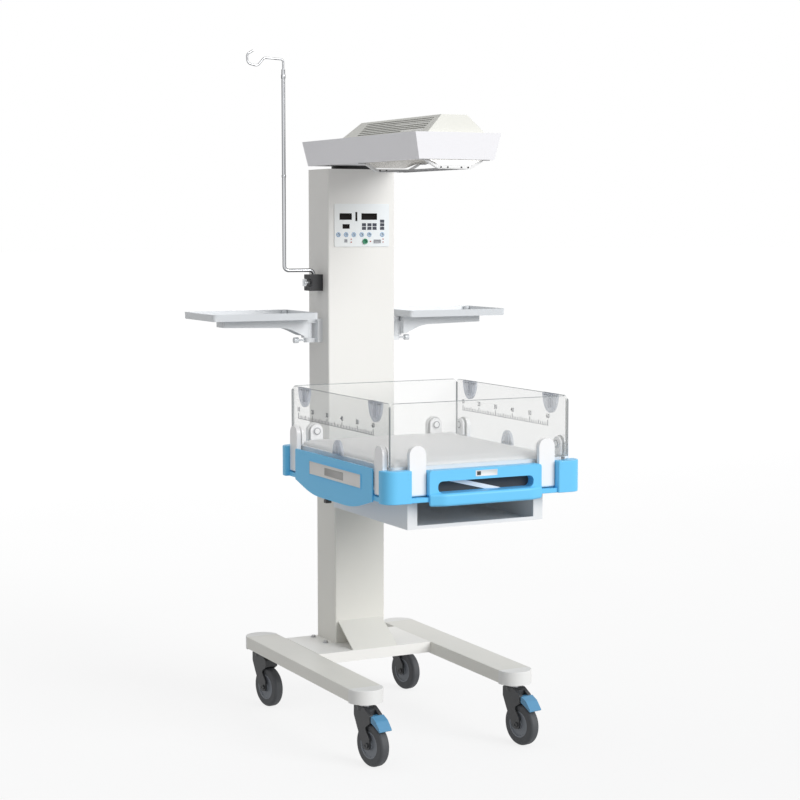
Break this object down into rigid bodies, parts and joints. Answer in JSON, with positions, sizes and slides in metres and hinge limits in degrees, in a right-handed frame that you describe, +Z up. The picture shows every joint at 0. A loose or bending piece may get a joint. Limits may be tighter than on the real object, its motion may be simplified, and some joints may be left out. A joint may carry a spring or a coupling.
{
  "type": "infant radiant warmer",
  "caption": "Wheeled infant radiant warmer: column with swivelling heater hood, side trays, drip pole and control panel, carrying a tilting bassinet with fold-down clear sides.",
  "frame": {"origin": "on the floor, in the middle of the ground that the whole warmer covers", "axes": "+Z up; -Y towards the bassinet's front handle; +X to the right seen from behind the column's front, that is the right-hand tray's side"},
  "size_m": [1, 1.08, 2.0456],
  "materials": {
    "frame_steel": "satin",
    "cap_plastic": "satin",
    "column_steel": "satin",
    "inlet_plastic": "matte",
    "panel_plastic": "satin",
    "caster_plastic": "satin",
    "tread": "matte",
    "hub_plastic": "satin",
    "pedal_plastic": "gloss",
    "turned_steel": "brushed",
    "hood_steel": "satin",
    "housing_steel": "satin",
    "polished": "polished",
    "ceramic": "satin",
    "guard_steel": "gloss",
    "arm_steel": "satin",
    "tray_plastic": "satin",
    "clear_grip": "gloss",
    "clamp_metal": "satin",
    "chassis_steel": "satin",
    "lever_plastic": "satin",
    "blue_plastic": "satin",
    "deck_plastic": "satin",
    "cloth": "matte",
    "clear_pane": "gloss",
    "arm_plastic": "satin"
  },
  "bodies": {
    "stand": {"left_leg": "frame_steel", "right_leg": "frame_steel", "cross_plate": "frame_steel", "leg_end_caps": "cap_plastic", "front_brace": "frame_steel", "lower_column": "frame_steel", "upper_column": "column_steel", "rear_cover": "column_steel", "mains_inlet": "inlet_plastic", "control_panel": "panel_plastic", "caster_stems": "turned_steel", "hood_pivot": "turned_steel", "tray_brackets": "arm_steel", "pole_clamp": "clamp_metal", "tilt_carrier": "arm_steel", "tilt_shaft": "turned_steel"},
    "front_left_caster": {"front_left_fork": "caster_plastic"},
    "front_left_wheel": {"front_left_tyre": "tread", "front_left_hub": "hub_plastic"},
    "front_left_pedal": {"front_left_brake_pedal": "pedal_plastic"},
    "front_right_caster": {"front_right_fork": "caster_plastic"},
    "front_right_wheel": {"front_right_tyre": "tread", "front_right_hub": "hub_plastic"},
    "front_right_pedal": {"front_right_brake_pedal": "pedal_plastic"},
    "rear_left_caster": {"rear_left_fork": "caster_plastic"},
    "rear_left_wheel": {"rear_left_tyre": "tread", "rear_left_hub": "hub_plastic"},
    "rear_right_caster": {"rear_right_fork": "caster_plastic"},
    "rear_right_wheel": {"rear_right_tyre": "tread", "rear_right_hub": "hub_plastic"},
    "hood": {"hood_shell": "hood_steel", "heater_housing": "housing_steel", "reflector": "polished", "heater_tubes": "ceramic", "wire_guard": "guard_steel"},
    "left_tray_table": {"left_tray_arm": "arm_steel", "left_tray": "tray_plastic"},
    "left_screw": {"left_tray_screw": "clear_grip"},
    "right_tray_table": {"right_tray_arm": "arm_steel", "right_tray": "tray_plastic"},
    "right_screw": {"right_tray_screw": "clear_grip"},
    "pole": {"pole_tube": "polished"},
    "hook": {"hook_rod": "polished"},
    "knob": {"pole_knob": "clear_grip"},
    "bed": {"bed_chassis": "chassis_steel", "bed_frame": "blue_plastic", "front_handle": "blue_plastic", "side_skirts": "blue_plastic", "deck": "deck_plastic", "mattress": "cloth", "under_shelf": "chassis_steel"},
    "lever": {"tilt_lever": "lever_plastic"},
    "left_side": {"left_pane": "clear_pane", "left_pane_arms": "arm_plastic"},
    "right_side": {"right_pane": "clear_pane", "right_pane_arms": "arm_plastic"},
    "front_side": {"front_pane": "clear_pane", "front_pane_arms": "arm_plastic"},
    "rear_side": {"rear_pane": "clear_pane", "rear_pane_arms": "arm_plastic"}
  },
  "joints": [
    {"name": "front_left_swivel", "type": "hinge", "parent": "stand", "child": "front_left_caster", "pos_m": [-0.244, -0.261, 0.168], "axis": [0, 0, 1], "continuous": true},
    {"name": "front_left_spin", "type": "hinge", "parent": "front_left_caster", "child": "front_left_wheel", "pos_m": [-0.2374, -0.29842, 0.0625], "axis": [0.9848, 0.1736, 0], "continuous": true},
    {"name": "front_left_brake", "type": "hinge", "parent": "front_left_caster", "child": "front_left_pedal", "pos_m": [-0.23653, -0.30335, 0.141], "axis": [0.9848, 0.1736, 0], "range_deg": [-20, 0]},
    {"name": "front_right_swivel", "type": "hinge", "parent": "stand", "child": "front_right_caster", "pos_m": [0.244, -0.261, 0.168], "axis": [0, 0, 1], "continuous": true},
    {"name": "front_right_spin", "type": "hinge", "parent": "front_right_caster", "child": "front_right_wheel", "pos_m": [0.2506, -0.29842, 0.0625], "axis": [0.9848, 0.1736, 0], "continuous": true},
    {"name": "front_right_brake", "type": "hinge", "parent": "front_right_caster", "child": "front_right_pedal", "pos_m": [0.25147, -0.30335, 0.141], "axis": [0.9848, 0.1736, 0], "range_deg": [-20, 0]},
    {"name": "rear_left_swivel", "type": "hinge", "parent": "stand", "child": "rear_left_caster", "pos_m": [-0.244, 0.488, 0.168], "axis": [0, 0, 1], "continuous": true},
    {"name": "rear_left_spin", "type": "hinge", "parent": "rear_left_caster", "child": "rear_left_wheel", "pos_m": [-0.2374, 0.45058, 0.0625], "axis": [0.9848, 0.1736, 0], "continuous": true},
    {"name": "rear_right_swivel", "type": "hinge", "parent": "stand", "child": "rear_right_caster", "pos_m": [0.244, 0.488, 0.168], "axis": [0, 0, 1], "continuous": true},
    {"name": "rear_right_spin", "type": "hinge", "parent": "rear_right_caster", "child": "rear_right_wheel", "pos_m": [0.2506, 0.45058, 0.0625], "axis": [0.9848, 0.1736, 0], "continuous": true},
    {"name": "hood_swivel", "type": "hinge", "parent": "stand", "child": "hood", "pos_m": [0, 0.3313, 1.7036], "axis": [0, 0, 1], "range_deg": [-45, 90]},
    {"name": "left_tray_swivel", "type": "hinge", "parent": "stand", "child": "left_tray_table", "pos_m": [-0.15, 0.331, 1.2], "axis": [0, 0, 1], "range_deg": [-25, 25]},
    {"name": "left_screw_turn", "type": "hinge", "parent": "stand", "child": "left_screw", "pos_m": [-0.178, 0.331, 1.169], "axis": [1, 0, 0], "range_deg": [-180, 180]},
    {"name": "right_tray_swivel", "type": "hinge", "parent": "stand", "child": "right_tray_table", "pos_m": [0.15, 0.331, 1.2], "axis": [0, 0, 1], "range_deg": [-25, 25]},
    {"name": "right_screw_turn", "type": "hinge", "parent": "stand", "child": "right_screw", "pos_m": [0.178, 0.331, 1.169], "axis": [1, 0, 0], "range_deg": [-180, 180]},
    {"name": "pole_swivel", "type": "hinge", "parent": "stand", "child": "pole", "pos_m": [-0.135, 0.32, 1.35], "axis": [0, 0, 1], "range_deg": [-80, 80]},
    {"name": "hook_slide", "type": "slide", "parent": "pole", "child": "hook", "axis": [0, 0, 1], "range_m": [0, 0.35]},
    {"name": "knob_turn", "type": "hinge", "parent": "stand", "child": "knob", "pos_m": [-0.16, 0.32, 1.346], "axis": [1, 0, 0], "range_deg": [-180, 180]},
    {"name": "bed_tilt", "type": "hinge", "parent": "stand", "child": "bed", "pos_m": [0, 0.065, 0.785], "axis": [1, 0, 0], "range_deg": [-10, 10]},
    {"name": "lever_pull", "type": "hinge", "parent": "bed", "child": "lever", "pos_m": [-0.19, 0.122, 0.728], "axis": [0, 1, 0], "range_deg": [0, 40]},
    {"name": "left_side_fold", "type": "hinge", "parent": "bed", "child": "left_side", "pos_m": [-0.2873, -0.165, 0.799], "axis": [0, 1, 0], "range_deg": [-90, 0]},
    {"name": "right_side_fold", "type": "hinge", "parent": "bed", "child": "right_side", "pos_m": [0.2873, -0.165, 0.799], "axis": [0, 1, 0], "range_deg": [0, 90]},
    {"name": "front_side_fold", "type": "hinge", "parent": "bed", "child": "front_side", "pos_m": [0, -0.4988, 0.799], "axis": [1, 0, 0], "range_deg": [0, 90]},
    {"name": "rear_side_lift", "type": "slide", "parent": "bed", "child": "rear_side", "axis": [0, 0, 1], "range_m": [0, 0.12]}
  ]
}
